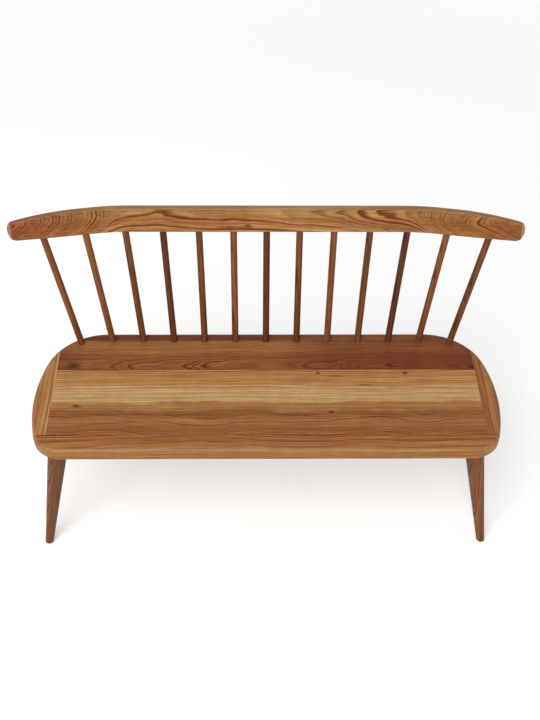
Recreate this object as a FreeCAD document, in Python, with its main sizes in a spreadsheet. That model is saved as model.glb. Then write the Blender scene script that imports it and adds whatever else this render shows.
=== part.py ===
import FreeCAD, Part
import math
import os
import Sketcher

# A deacons bench: a solid wood seat glued up from long boards between two
# end caps, four splayed legs, and a back of thirteen fanned spindles under
# a curved rail that is sawn from the solid.
#
# Millimetres, +Z up. X runs along the bench and -Y is the front, where the
# sitter's legs are. The origin is on the floor, in the middle of the
# bench's footprint as its outermost points mark it.

# Driving sizes. Angles are in degrees.
SIZES = {
    # Seat, measured over all
    "seat_length": 1140,
    "seat_depth": 406,
    "seat_height": 440,
    "seat_thickness": 32,
    "seat_top_arris": 10,
    "seat_under_arris": 3,
    # Seat outline: straight front and back edges, bowed ends
    "front_corner_radius": 74,
    "back_corner_radius": 150,
    "side_radius": 460,
    "widest_point_forward": 33,
    # Boards of the seat, and the loose tongues that hold the end caps
    "back_strip_width": 29,
    "rear_board_width": 107.5,
    "fore_board_width": 64.5,
    "front_board_width": 51,
    "end_cap_width": 45,
    "tongue_thickness": 8,
    "tongue_width": 30,
    "tongue_front_setback": 25,
    "tongue_rear_setback": 130,
    # Legs: places where they meet the seat, and how far each foot stands out
    "leg_top_diameter": 54,
    "leg_foot_diameter": 21,
    "foot_arris": 3,
    "leg_end_inset": 69,
    "front_leg_inset": 100,
    "rear_leg_inset": 88,
    "leg_splay": 73,
    "front_leg_rake": 32,
    "rear_leg_rake": 72,
    "leg_tenon_diameter": 28,
    "leg_tenon_length": 25,
    # Back: the rail and the line of spindles that carries it
    "back_lean": 12.5,
    "crest_length": 1232,
    "crest_height": 62,
    "crest_thickness": 23.5,
    "crest_underside": 743,
    "crest_swept_length": 286,
    "crest_bend_radius": 350,
    "crest_tip_forward": 59.3,
    "crest_end_length": 170,
    "crest_low_rise": 2,
    "crest_high_drop": 18.5,
    "crest_bevel_along": 12,
    "crest_bevel_across": 13,
    "crest_arris": 4,
    "spindle_diameter": 16.8,
    "spindle_inset": 28,
    "outer_spindle_forward": 10,
    "outer_spindle_base_inset": 96,
    "outer_spindle_top_inset": 77,
    "spindle_seat_depth": 25,
    "spindle_crest_depth": 28,
    # Joints: the film of glue round a dowel or tongue, and the room left
    # at the bottom of a blind hole
    "glue_gap": 0.1,
    "hole_end_room": 0.8,
}
SPINDLES_EACH_SIDE = 6

# Sizes worked out from the driving ones
WORKED_OUT = {
    "seat_underside": "=seat_height - seat_thickness",
    # The rail's top back arris is the rearmost point, the seat's front edge
    # the foremost, and the origin lies halfway between the two
    "spindle_reach": "=crest_underside - seat_height",
    "crest_back_reach": "=seat_depth / 2 - spindle_inset + spindle_reach * tan(back_lean)"
    " + (crest_height - crest_arris) * sin(back_lean)"
    " + (crest_thickness / 2 - crest_arris) * cos(back_lean) + crest_arris",
    "seat_centre_y": "=(seat_depth / 2 - crest_back_reach) / 2",
    "front_edge_y": "=seat_centre_y - seat_depth / 2",
    "back_edge_y": "=seat_centre_y + seat_depth / 2",
    # Glue lines between the boards
    "strip_joint_y": "=back_edge_y - back_strip_width",
    "rear_joint_y": "=strip_joint_y - rear_board_width",
    "front_joint_y": "=front_edge_y + front_board_width",
    "fore_joint_y": "=front_joint_y + fore_board_width",
    "cap_joint_x": "=seat_length / 2 - end_cap_width",
    # Each tongue keeps its distance from the front glue line and from the
    # seat's back edge
    "tongue_front_y": "=front_joint_y + tongue_front_setback",
    "tongue_length": "=back_edge_y - tongue_rear_setback - tongue_front_y",
    # Spindle lines
    "spindle_line_y": "=back_edge_y - spindle_inset",
    "outer_base_x": "=seat_length / 2 - outer_spindle_base_inset",
    "outer_top_x": "=crest_length / 2 - outer_spindle_top_inset",
    "crest_y": "=spindle_line_y + spindle_reach * tan(back_lean)",
    # The rail's plan: the swept ends are straight and tangent to the bends
    "crest_straight": "=crest_length - 2 * crest_swept_length",
    "tip_from_bend_y": "=crest_bend_radius - crest_tip_forward",
    "crest_sweep": "=(atan2(crest_swept_length; tip_from_bend_y)"
    " - acos(crest_bend_radius / hypot(crest_swept_length; tip_from_bend_y))) / 1 deg",
    "bend_end_x": "=crest_straight / 2 + crest_bend_radius * sin(crest_sweep)",
    "bend_end_forward": "=crest_bend_radius * (1 - cos(crest_sweep))",
    "crest_corner_forward": "=crest_tip_forward + crest_thickness / 2 / cos(crest_sweep)",
    # The rail's ends narrow along an arc at each edge, and two corner arcs
    # round off nearly all of what is left of the height
    "crest_low_sweep_radius": "=(crest_end_length ^ 2 + crest_low_rise ^ 2) / 2 / crest_low_rise",
    "crest_high_sweep_radius": "=(crest_end_length ^ 2 + crest_high_drop ^ 2) / 2 / crest_high_drop",
    "crest_end_height": "=crest_height - crest_low_rise - crest_high_drop",
    "crest_low_corner_radius": "=crest_end_height * 3 / 5",
    "crest_high_corner_radius": "=crest_end_height / 3",
    # Legs: centres at the seat's underside
    "leg_top_x": "=seat_length / 2 - leg_end_inset",
    "front_leg_top_y": "=front_edge_y + front_leg_inset",
    "rear_leg_top_y": "=back_edge_y - rear_leg_inset",
    "front_leg_run": "=hypot(leg_splay; front_leg_rake; seat_underside)",
    "rear_leg_run": "=hypot(leg_splay; rear_leg_rake; seat_underside)",
}

doc = FreeCAD.newDocument("DeaconsBench")
sheet = doc.addObject("Spreadsheet::Sheet", "Sizes")
pieces = []


def fill_sheet(entries, first_row):
    """Writes named sizes or formulas down the sheet, one to a row."""
    for row, (name, content) in enumerate(entries.items(), first_row):
        sheet.set(f"A{row}", name)
        sheet.set(f"B{row}", str(content))
        sheet.setAlias(f"B{row}", name)
    doc.recompute()


def size(name):
    """The value of a named size, for the first guess of a sketch's points."""
    return float(sheet.get(name))


def bind(feature, **formulas):
    """Ties properties of a feature to the sheet."""
    for name, formula in formulas.items():
        feature.setExpression(name, formula)
    return feature


def at(x, y, z, rotation="rotation(vector(0; 0; 1); 0)"):
    """A placement formula from formulas for its point and its rotation."""
    return f"placement(vector({x}; {y}; {z}); {rotation})"


def pointing(x, y, z):
    """A rotation formula that turns the Z axis to the given direction."""
    return f"create(<<rotation>>; vector(0; 0; 1); vector({x}; {y}; {z}))"


def keep(feature, name):
    """Marks a feature as a finished piece under the piece's own name."""
    feature.Label = name
    pieces.append(feature)


def new_box(name, length, width, height, placement):
    """A box whose sides and place are formulas."""
    box = doc.addObject("Part::Box", name)
    return bind(box, Length=length, Width=width, Height=height, Placement=placement)


def new_cylinder(name, radius, height, placement):
    """A cylinder whose sizes and place are formulas."""
    cylinder = doc.addObject("Part::Cylinder", name)
    return bind(cylinder, Radius=radius, Height=height, Placement=placement)


def combine(kind, name, base, tool):
    """A cut or a common of two features."""
    result = doc.addObject(kind, name)
    result.Base = base
    result.Tool = tool
    return result


def new_sketch(body, plane, name):
    """An empty sketch on one of the body's own origin planes."""
    sketch = body.newObject("Sketcher::SketchObject", name)
    support = next(f for f in body.Origin.OriginFeatures if f.Role == plane)
    sketch.AttachmentSupport = [(support, "")]
    sketch.MapMode = "FlatFace"
    return sketch


def line(start, end):
    """A straight edge between two (x, y) points."""
    return Part.LineSegment(FreeCAD.Vector(*start, 0), FreeCAD.Vector(*end, 0))


def arc(centre, radius, start_angle, end_angle):
    """An anticlockwise arc, its angles in radians."""
    circle = Part.Circle(FreeCAD.Vector(*centre, 0), FreeCAD.Vector(0, 0, 1), radius)
    return Part.ArcOfCircle(circle, start_angle, end_angle)


# Which point of a sketched edge a constraint holds, counted from one
START, END, CENTRE = range(1, 4)
# The sketch's own axes and origin, as constraints count them
LEVEL_AXIS, UPRIGHT_AXIS = range(-1, -3, -1)
ORIGIN = (LEVEL_AXIS, START)
# How far off a level an edge may lie and still count as flat on it
LEVEL_TOLERANCE = 0.01


def dimension(sketch, kind, *where, formula):
    """Adds a driving dimension to a sketch and ties it to the sheet."""
    first_guess = float(sketch.evalExpression(formula))
    index = sketch.addConstraint(Sketcher.Constraint(kind, *where, first_guess))
    sketch.setExpression(f"Constraints[{index}]", formula)


def constrain(sketch, kind, *where):
    """Adds a geometric constraint to a sketch."""
    sketch.addConstraint(Sketcher.Constraint(kind, *where))


def sharp_edges(shape, least_angle=20):
    """Names of the edges where two faces meet at more than an angle."""
    names = []
    for number, edge in enumerate(shape.Edges, 1):
        faces = shape.ancestorsOfType(edge, Part.Face)
        if len(faces) < 2:
            continue
        middle = edge.valueAt((edge.FirstParameter + edge.LastParameter) / 2)
        first, second = (face.normalAt(*face.Surface.parameter(middle)) for face in faces[:2])
        if math.degrees(first.getAngle(second)) > least_angle:
            names.append(f"Edge{number}")
    return names


def level_edges(shape, level):
    """Names of the edges that lie flat at a level."""
    return [
        f"Edge{number}" for number, edge in enumerate(shape.Edges, 1)
        if abs(edge.BoundBox.ZMin - level) < LEVEL_TOLERANCE
        and abs(edge.BoundBox.ZMax - level) < LEVEL_TOLERANCE
    ]


def build_seat_blank():
    """The whole seat as one slab, before it is drilled and parted into boards."""
    body = doc.addObject("PartDesign::Body", "SeatBlank")
    bind(body, Placement=at("0", "Sizes.seat_centre_y", "Sizes.seat_underside"))
    sketch = new_sketch(body, "XY_Plane", "SeatOutline")
    draw_seat_outline(sketch)
    slab = body.newObject("PartDesign::Pad", "SeatSlab")
    slab.Profile = sketch
    bind(slab, Length="Sizes.seat_thickness")
    doc.recompute()
    rounded = body.newObject("PartDesign::Fillet", "SeatTopArris")
    rounded.Base = (slab, level_edges(slab.Shape, size("seat_thickness")))
    bind(rounded, Radius="Sizes.seat_top_arris")
    doc.recompute()
    eased = body.newObject("PartDesign::Chamfer", "SeatUnderArris")
    eased.Base = (rounded, level_edges(rounded.Shape, 0))
    bind(eased, Size="Sizes.seat_under_arris")
    doc.recompute()
    return body


def draw_seat_outline(sketch):
    """Straight front and back edges, bowed ends and rounded corners."""
    half_depth = size("seat_depth") / 2
    side_radius = size("side_radius")
    side_x = size("seat_length") / 2 - side_radius
    side_y = -size("widest_point_forward")

    def corner(radius, level):
        """Centre of a corner arc that touches the side arc, and its angle."""
        away_x = math.sqrt((side_radius - radius) ** 2 - (level - side_y) ** 2)
        return (side_x + away_x, level), math.atan2(level - side_y, away_x)

    front_radius = size("front_corner_radius")
    back_radius = size("back_corner_radius")
    front_centre, front_angle = corner(front_radius, front_radius - half_depth)
    back_centre, back_angle = corner(back_radius, half_depth - back_radius)

    def left(centre):
        return (-centre[0], centre[1])

    edges = [
        line((-front_centre[0], -half_depth), (front_centre[0], -half_depth)),
        arc(front_centre, front_radius, -math.pi / 2, front_angle),
        arc((side_x, side_y), side_radius, front_angle, back_angle),
        arc(back_centre, back_radius, back_angle, math.pi / 2),
        line((back_centre[0], half_depth), (-back_centre[0], half_depth)),
        arc(left(back_centre), back_radius, math.pi / 2, math.pi - back_angle),
        arc((-side_x, side_y), side_radius, math.pi - back_angle, math.pi - front_angle),
        arc(left(front_centre), front_radius, math.pi - front_angle, 1.5 * math.pi),
    ]
    front, front_right, right, back_right, back, back_left, left_side, front_left = range(8)
    sketch.addGeometry(edges, False)
    for edge in range(8):
        constrain(sketch, "Tangent", edge, END, (edge + 1) % 8, START)
    constrain(sketch, "Horizontal", front)
    constrain(sketch, "Horizontal", back)
    constrain(sketch, "Symmetric", right, CENTRE, left_side, CENTRE, UPRIGHT_AXIS)
    constrain(sketch, "Equal", right, left_side)
    constrain(sketch, "Equal", front_right, front_left)
    constrain(sketch, "Equal", back_right, back_left)
    dimension(sketch, "Radius", right, formula="Sizes.side_radius")
    dimension(sketch, "Radius", front_right, formula="Sizes.front_corner_radius")
    dimension(sketch, "Radius", back_right, formula="Sizes.back_corner_radius")
    dimension(sketch, "DistanceY", front, START, *ORIGIN, formula="Sizes.seat_depth / 2")
    dimension(sketch, "DistanceY", *ORIGIN, back, START, formula="Sizes.seat_depth / 2")
    dimension(sketch, "DistanceY", right, CENTRE, *ORIGIN, formula="Sizes.widest_point_forward")
    dimension(sketch, "DistanceX", *ORIGIN, right, CENTRE,
              formula="Sizes.seat_length / 2 - Sizes.side_radius")


def build_crest_blank():
    """The rail before its spindle holes: sawn to its sweep, then to its ends."""
    body = doc.addObject("PartDesign::Body", "CrestBlank")
    lean = "rotation(vector(1; 0; 0); -Sizes.back_lean)"
    bind(body, Placement=at("0", "Sizes.crest_y", "Sizes.crest_underside", lean))
    plan = new_sketch(body, "XY_Plane", "CrestPlan")
    draw_crest_plan(plan)
    swept = body.newObject("PartDesign::Pad", "CrestSwept")
    swept.Profile = plan
    bind(swept, Length="Sizes.crest_height")
    doc.recompute()
    end_waste = new_sketch(body, "XZ_Plane", "CrestEndWaste")
    draw_crest_end_waste(end_waste)
    end_cut = saw_both_ways(body, "CrestEnd", end_waste, swept)
    bevel_waste = new_sketch(body, "XY_Plane", "CrestBevelWaste")
    draw_crest_bevel_waste(bevel_waste)
    bevel_cut = saw_both_ways(body, "CrestBevel", bevel_waste, end_cut)
    whole = body.newObject("PartDesign::Mirrored", "CrestWhole")
    whole.Originals = [swept, end_cut, bevel_cut]
    middle = next(f for f in body.Origin.OriginFeatures if f.Role == "YZ_Plane")
    whole.MirrorPlane = (middle, [""])
    body.Tip = whole
    doc.recompute()
    rounded = body.newObject("PartDesign::Fillet", "CrestArris")
    rounded.Base = (whole, sharp_edges(whole.Shape))
    bind(rounded, Radius="Sizes.crest_arris")
    doc.recompute()
    return body


def saw_both_ways(body, name, waste, before):
    """Cuts a profile right through the rail, to both sides of its sketch."""
    cut = body.newObject("PartDesign::Pocket", name)
    cut.Profile = waste
    cut.SideType = "Symmetric"
    bind(cut, Length="Sizes.crest_length")
    doc.recompute()
    if cut.Shape.Volume >= before.Shape.Volume:
        raise RuntimeError(f"{name} took nothing off")
    return cut


def draw_crest_plan(sketch):
    """The right half of a strip of even thickness, swept forward at its end."""
    bend = size("crest_bend_radius")
    half = size("crest_thickness") / 2
    start_x = size("crest_straight") / 2
    saw_x = size("crest_length") / 2 + size("crest_thickness")
    turn = math.radians(size("crest_sweep"))
    bend_end = (size("bend_end_x"), -size("bend_end_forward"))

    def offset(point, distance):
        """A point moved square to the swept end, towards the back."""
        return (point[0] + distance * math.sin(turn), point[1] + distance * math.cos(turn))

    def onward(point):
        """The point where a swept face reaches the over-long end."""
        return (saw_x, point[1] - (saw_x - point[0]) * math.tan(turn))

    up = math.pi / 2
    front_bend_end = offset(bend_end, -half)
    back_bend_end = offset(bend_end, half)
    edges = [
        line((0, -half), (start_x, -half)),
        arc((start_x, -bend), bend - half, up - turn, up),
        line(front_bend_end, onward(front_bend_end)),
        line(onward(front_bend_end), onward(back_bend_end)),
        line(onward(back_bend_end), back_bend_end),
        arc((start_x, -bend), bend + half, up - turn, up),
        line((start_x, half), (0, half)),
        line((0, half), (0, -half)),
    ]
    sketch.addGeometry(edges, False)
    (front, front_bend, front_swept, end,
     back_swept, back_bend, back, middle) = range(len(edges))
    constrain(sketch, "Tangent", front, END, front_bend, END)
    constrain(sketch, "Tangent", front_bend, START, front_swept, START)
    constrain(sketch, "Tangent", back_swept, END, back_bend, START)
    constrain(sketch, "Tangent", back_bend, END, back, START)
    for first, second in ((front_swept, end), (end, back_swept), (back, middle), (middle, front)):
        constrain(sketch, "Coincident", first, END, second, START)
    constrain(sketch, "Coincident", front_bend, CENTRE, back_bend, CENTRE)
    constrain(sketch, "Horizontal", front)
    constrain(sketch, "Horizontal", back)
    constrain(sketch, "Vertical", middle)
    constrain(sketch, "Vertical", end)
    constrain(sketch, "Parallel", front_swept, back_swept)
    constrain(sketch, "PointOnObject", front, START, UPRIGHT_AXIS)
    dimension(sketch, "Radius", front_bend,
              formula="Sizes.crest_bend_radius - Sizes.crest_thickness / 2")
    dimension(sketch, "Radius", back_bend,
              formula="Sizes.crest_bend_radius + Sizes.crest_thickness / 2")
    dimension(sketch, "DistanceX", *ORIGIN, front_bend, CENTRE,
              formula="Sizes.crest_straight / 2")
    dimension(sketch, "DistanceY", front_bend, CENTRE, *ORIGIN,
              formula="Sizes.crest_bend_radius")
    dimension(sketch, "DistanceY", front_swept, END, front_swept, START,
              formula="(Sizes.crest_length / 2 + Sizes.crest_thickness - Sizes.bend_end_x"
                      " + Sizes.crest_thickness / 2 * sin(Sizes.crest_sweep))"
                      " * tan(Sizes.crest_sweep)")
    dimension(sketch, "DistanceX", *ORIGIN, end, START,
              formula="Sizes.crest_length / 2 + Sizes.crest_thickness")


def draw_crest_end_waste(sketch):
    """What is sawn off above, below and beyond the right end of the rail."""
    tip_x = size("crest_length") / 2
    start_x = tip_x - size("crest_end_length")
    height = size("crest_height")
    beyond = size("crest_thickness")

    def corner(sweep_radius, radius):
        """A corner arc's height above the edge's line, and where it begins."""
        along = tip_x - radius - start_x
        level = sweep_radius - math.sqrt((sweep_radius - radius) ** 2 - along ** 2)
        return level, math.atan2(along, sweep_radius - level)

    low_sweep_radius = size("crest_low_sweep_radius")
    high_sweep_radius = size("crest_high_sweep_radius")
    low_radius = size("crest_low_corner_radius")
    high_radius = size("crest_high_corner_radius")
    low_level, low_turn = corner(low_sweep_radius, low_radius)
    high_level, high_turn = corner(high_sweep_radius, high_radius)
    up = math.pi / 2
    edges = [
        arc((start_x, low_sweep_radius), low_sweep_radius, -up, low_turn - up),
        arc((tip_x - low_radius, low_level), low_radius, low_turn - up, 0),
        line((tip_x, low_level), (tip_x, height - high_level)),
        arc((tip_x - high_radius, height - high_level), high_radius, 0, up - high_turn),
        arc((start_x, height - high_sweep_radius), high_sweep_radius, up - high_turn, up),
        line((start_x, height), (start_x, height + beyond)),
        line((start_x, height + beyond), (tip_x + 2 * beyond, height + beyond)),
        line((tip_x + 2 * beyond, height + beyond), (tip_x + 2 * beyond, -beyond)),
        line((tip_x + 2 * beyond, -beyond), (start_x, -beyond)),
        line((start_x, -beyond), (start_x, 0)),
    ]
    sketch.addGeometry(edges, False)
    (low_sweep, low_corner, end, high_corner, high_sweep,
     high_side, top, outside, bottom, low_side) = range(len(edges))
    for first, second in ((low_sweep, low_corner), (low_corner, end),
                          (end, high_corner), (high_corner, high_sweep)):
        constrain(sketch, "Tangent", first, END, second, START)
    for first, second in ((high_sweep, high_side), (high_side, top), (top, outside),
                          (outside, bottom), (bottom, low_side), (low_side, low_sweep)):
        constrain(sketch, "Coincident", first, END, second, START)
    for edge in (end, high_side, outside, low_side):
        constrain(sketch, "Vertical", edge)
    for edge in (top, bottom):
        constrain(sketch, "Horizontal", edge)
    constrain(sketch, "PointOnObject", low_sweep, START, LEVEL_AXIS)
    constrain(sketch, "Vertical", low_sweep, START, high_sweep, END)
    constrain(sketch, "Vertical", low_sweep, START, low_sweep, CENTRE)
    constrain(sketch, "Vertical", high_sweep, END, high_sweep, CENTRE)
    dimension(sketch, "Radius", low_sweep, formula="Sizes.crest_low_sweep_radius")
    dimension(sketch, "Radius", low_corner, formula="Sizes.crest_low_corner_radius")
    dimension(sketch, "Radius", high_corner, formula="Sizes.crest_high_corner_radius")
    dimension(sketch, "Radius", high_sweep, formula="Sizes.crest_high_sweep_radius")
    dimension(sketch, "DistanceX", *ORIGIN, low_sweep, START,
              formula="Sizes.crest_length / 2 - Sizes.crest_end_length")
    dimension(sketch, "DistanceX", *ORIGIN, end, START, formula="Sizes.crest_length / 2")
    dimension(sketch, "DistanceX", end, START, outside, START,
              formula="2 * Sizes.crest_thickness")
    dimension(sketch, "DistanceY", *ORIGIN, high_sweep, END, formula="Sizes.crest_height")
    dimension(sketch, "DistanceY", high_sweep, END, top, START, formula="Sizes.crest_thickness")
    dimension(sketch, "DistanceY", bottom, START, *ORIGIN, formula="Sizes.crest_thickness")


def draw_crest_bevel_waste(sketch):
    """What is bevelled off the front corner of the rail's right end."""
    tip_x = size("crest_length") / 2
    slope = math.tan(math.radians(size("crest_sweep")))
    beyond = size("crest_thickness")
    corner_y = -size("crest_corner_forward")
    inner = (tip_x - size("crest_bevel_along"), corner_y + size("crest_bevel_along") * slope)
    outer = (tip_x, corner_y + size("crest_bevel_across"))
    points = [
        inner,
        (inner[0], corner_y - beyond),
        (tip_x + beyond, corner_y - beyond),
        (tip_x + beyond, outer[1]),
        outer,
    ]
    edges = [line(point, points[(i + 1) % len(points)]) for i, point in enumerate(points)]
    sketch.addGeometry(edges, False)
    inner_side, bottom, outside, outer_side, bevel = range(len(edges))
    for edge in range(len(edges)):
        constrain(sketch, "Coincident", edge, END, (edge + 1) % len(edges), START)
    for edge in (inner_side, outside):
        constrain(sketch, "Vertical", edge)
    for edge in (bottom, outer_side):
        constrain(sketch, "Horizontal", edge)
    dimension(sketch, "DistanceX", *ORIGIN, inner_side, START,
              formula="Sizes.crest_length / 2 - Sizes.crest_bevel_along")
    dimension(sketch, "DistanceY", inner_side, START, *ORIGIN,
              formula="Sizes.crest_corner_forward"
                      " - Sizes.crest_bevel_along * tan(Sizes.crest_sweep)")
    dimension(sketch, "DistanceX", *ORIGIN, bevel, START, formula="Sizes.crest_length / 2")
    dimension(sketch, "DistanceY", bevel, START, *ORIGIN,
              formula="Sizes.crest_corner_forward - Sizes.crest_bevel_across")
    dimension(sketch, "DistanceX", bevel, START, outside, START, formula="Sizes.crest_thickness")
    dimension(sketch, "DistanceY", bottom, START, *ORIGIN,
              formula="Sizes.crest_corner_forward + Sizes.crest_thickness")


def add_spindle_lines():
    """Works out each spindle's axis, counted outwards from the middle one."""
    last = SPINDLES_EACH_SIDE
    rows = {}
    for step in range(last + 1):
        base = f"spindle_{step}_base"
        aim = f"spindle_{step}_aim"
        share = f"{step} / {last}"
        outermost = 1 if step == last else 0
        rows[f"{base}_x"] = f"=outer_base_x * {share}"
        rows[f"{base}_y"] = f"=spindle_line_y - outer_spindle_forward * {outermost}"
        # The fan opens faster towards its ends
        rows[f"{aim}_x"] = f"={base}_x + (outer_top_x - outer_base_x) * ({share}) ^ 2"
        # How far the rail's middle line has swept forward at this spindle
        rows[f"{aim}_forward"] = (
            f"={aim}_x < crest_straight / 2 ? 0 : {aim}_x < bend_end_x ?"
            f" crest_bend_radius - sqrt(crest_bend_radius ^ 2 - ({aim}_x - crest_straight / 2) ^ 2)"
            f" : bend_end_forward + ({aim}_x - bend_end_x) * tan(crest_sweep)")
        # The axis meets the rail's middle line halfway down the hole
        rows[f"{aim}_y"] = (f"=crest_y - {aim}_forward * cos(back_lean)"
                            " + spindle_crest_depth / 2 * sin(back_lean)")
        rows[f"{aim}_z"] = (f"=crest_underside + {aim}_forward * sin(back_lean)"
                            " + spindle_crest_depth / 2 * cos(back_lean)")
        rows[f"spindle_{step}_run"] = (
            f"=hypot({aim}_x - {base}_x; {aim}_y - {base}_y; {aim}_z - seat_height)")
    fill_sheet(rows, len(SIZES) + len(WORKED_OUT) + 1)


def spindle_point(step, side, distance):
    """Formulas for a point on a spindle's axis, a distance above the seat."""
    base = f"Sizes.spindle_{step}_base"
    aim = f"Sizes.spindle_{step}_aim"
    share = f"({distance}) / Sizes.spindle_{step}_run"
    x = f"{side} * ({base}_x + ({aim}_x - {base}_x) * {share})"
    y = f"{base}_y + ({aim}_y - {base}_y) * {share}"
    z = f"Sizes.seat_height + ({aim}_z - Sizes.seat_height) * {share}"
    return x, y, z


def spindle_turn(step, side):
    """A rotation formula that lays the Z axis along a spindle."""
    base = f"Sizes.spindle_{step}_base"
    aim = f"Sizes.spindle_{step}_aim"
    return pointing(f"{side} * ({aim}_x - {base}_x)", f"{aim}_y - {base}_y",
                    f"{aim}_z - Sizes.seat_height")


def spindle_places():
    """The number, step from the middle and side of each spindle, left to right."""
    for offset in range(-SPINDLES_EACH_SIDE, SPINDLES_EACH_SIDE + 1):
        number = offset + SPINDLES_EACH_SIDE + 1
        yield number, abs(offset), -1 if offset < 0 else 1


def build_spindle(number, step, side):
    """One spindle, a plain round rod whose ends are its dowels."""
    name = f"spindle_{number:02d}"
    body = doc.addObject("PartDesign::Body", name)
    bottom = spindle_point(step, side, "-Sizes.spindle_seat_depth")
    bind(body, Placement=at(*bottom, spindle_turn(step, side)))
    section = new_sketch(body, "XY_Plane", f"{name}_section")
    section.addGeometry(Part.Circle(FreeCAD.Vector(0, 0, 0), FreeCAD.Vector(0, 0, 1), 1), False)
    constrain(section, "Coincident", 0, CENTRE, *ORIGIN)
    dimension(section, "Diameter", 0, formula="Sizes.spindle_diameter")
    rod = body.newObject("PartDesign::Pad", f"{name}_rod")
    rod.Profile = section
    bind(rod, Length=f"Sizes.spindle_seat_depth + Sizes.spindle_{step}_run"
                     " + Sizes.spindle_crest_depth / 2")
    keep(body, name)


def build_spindle_drill(number, step, side):
    """The space drilled for one spindle, in the seat and in the rail at once."""
    start = spindle_point(step, side, "-Sizes.spindle_seat_depth - Sizes.hole_end_room")
    return new_cylinder(
        f"Drill_{number:02d}",
        "Sizes.spindle_diameter / 2 + Sizes.glue_gap",
        f"Sizes.spindle_seat_depth + Sizes.spindle_{step}_run"
        " + Sizes.spindle_crest_depth / 2 + 2 * Sizes.hole_end_room",
        at(*start, spindle_turn(step, side)))


def leg_names(end, side):
    """The piece name of a leg, and the prefix of its pair's sizes."""
    hand = "left" if side < 0 else "right"
    return f"leg_{end}_{hand}", f"{end}_leg"


def leg_point(end, side, distance):
    """Formulas for a point on a leg's axis, a distance up from the floor."""
    out = -1 if end == "front" else 1
    share = f"(1 - ({distance}) / Sizes.{end}_leg_run)"
    x = f"{side} * (Sizes.leg_top_x + Sizes.leg_splay * {share})"
    y = f"Sizes.{end}_leg_top_y + {out} * Sizes.{end}_leg_rake * {share}"
    z = f"Sizes.seat_underside * ({distance}) / Sizes.{end}_leg_run"
    return x, y, z


def leg_turn(end, side):
    """A rotation formula that lays the Z axis up a leg."""
    out = -1 if end == "front" else 1
    return pointing(f"{-side} * Sizes.leg_splay", f"{-out} * Sizes.{end}_leg_rake",
                    "Sizes.seat_underside")


def build_leg(end, side, standing_room):
    """A turned, tapered leg, cut level at the floor and scribed to the seat."""
    name, pair = leg_names(end, side)
    run = f"Sizes.{pair}_run"
    # Turned over-long by the waste, which is as long as the leg's top radius
    waste = "Sizes.leg_top_diameter / 2"
    taper = f"(Sizes.leg_top_diameter - Sizes.leg_foot_diameter) / 2 / {run}"
    turned = doc.addObject("Part::Cone", f"{name}_turned")
    bind(turned,
         Radius1=f"Sizes.leg_foot_diameter / 2 - {waste} * {taper}",
         Radius2=f"Sizes.leg_top_diameter / 2 + {waste} * {taper}",
         Height=f"{run} + 2 * {waste}",
         Placement=at(*leg_point(end, side, f"-{waste}"), leg_turn(end, side)))
    shaft = combine("Part::Common", f"{name}_shaft", turned, standing_room)
    tenon = new_cylinder(
        f"{name}_tenon",
        "Sizes.leg_tenon_diameter / 2",
        f"{waste} + Sizes.leg_tenon_length",
        at(*leg_point(end, side, f"{run} - {waste}"), leg_turn(end, side)))
    whole = combine("Part::Fuse", f"{name}_whole", shaft, tenon)
    doc.recompute()
    body = doc.addObject("PartDesign::Body", name)
    body.BaseFeature = whole
    doc.recompute()
    blank = body.Tip
    eased = body.newObject("PartDesign::Chamfer", f"{name}_foot")
    eased.Base = (blank, level_edges(blank.Shape, 0))
    bind(eased, Size="Sizes.foot_arris")
    keep(body, name)


def build_mortise(end, side):
    """The blind hole in the seat for one leg's tenon."""
    name, pair = leg_names(end, side)
    run = f"Sizes.{pair}_run"
    below = "Sizes.leg_top_diameter / 2"
    return new_cylinder(
        f"{name}_mortise",
        "Sizes.leg_tenon_diameter / 2 + Sizes.glue_gap",
        f"{below} + Sizes.leg_tenon_length + Sizes.hole_end_room",
        at(*leg_point(end, side, f"{run} - {below}"), leg_turn(end, side)))


def tongue_box(name, side, spare):
    """A box for a loose tongue, larger all round by the spare given."""
    middle_z = "Sizes.seat_height - Sizes.seat_thickness / 2"
    return new_box(
        name,
        f"Sizes.tongue_width + 2 * {spare}",
        f"Sizes.tongue_length + 2 * {spare}",
        f"Sizes.tongue_thickness + 2 * {spare}",
        at(f"{side} * Sizes.cap_joint_x - Sizes.tongue_width / 2 - {spare}",
           f"Sizes.tongue_front_y - {spare}",
           f"{middle_z} - Sizes.tongue_thickness / 2 - {spare}"))


def part_into_boards(seat):
    """Parts the drilled seat along its glue lines, one solid to a board."""
    beyond = "Sizes.seat_thickness"
    joint = "Sizes.cap_joint_x"
    outside = f"(Sizes.seat_length / 2 + {beyond})"
    front = f"(Sizes.front_edge_y - {beyond})"
    back = f"(Sizes.back_edge_y + {beyond})"
    # Each board's left, right, front and back
    boards = {
        "seat_back_strip": (f"-{outside}", outside, "Sizes.strip_joint_y", back),
        "seat_rear_board": (f"-{joint}", joint, "Sizes.rear_joint_y", "Sizes.strip_joint_y"),
        "seat_middle_board": (f"-{joint}", joint, "Sizes.fore_joint_y", "Sizes.rear_joint_y"),
        "seat_fore_board": (f"-{joint}", joint, "Sizes.front_joint_y", "Sizes.fore_joint_y"),
        "seat_front_board": (f"-{outside}", outside, front, "Sizes.front_joint_y"),
        "end_cap_left": (f"-{outside}", f"-{joint}", "Sizes.front_joint_y", back),
        "end_cap_right": (joint, outside, "Sizes.front_joint_y", back),
    }
    for name, (left, right, near, far) in boards.items():
        space = new_box(
            f"{name}_space",
            f"{right} - ({left})",
            f"{far} - {near}",
            f"Sizes.seat_thickness + 2 * {beyond}",
            at(left, near, f"Sizes.seat_underside - {beyond}"))
        keep(combine("Part::Common", name, seat, space), name)


def join(name, features):
    """Several cutting shapes taken as one."""
    joined = doc.addObject("Part::MultiFuse", name)
    joined.Shapes = features
    return joined


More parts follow.
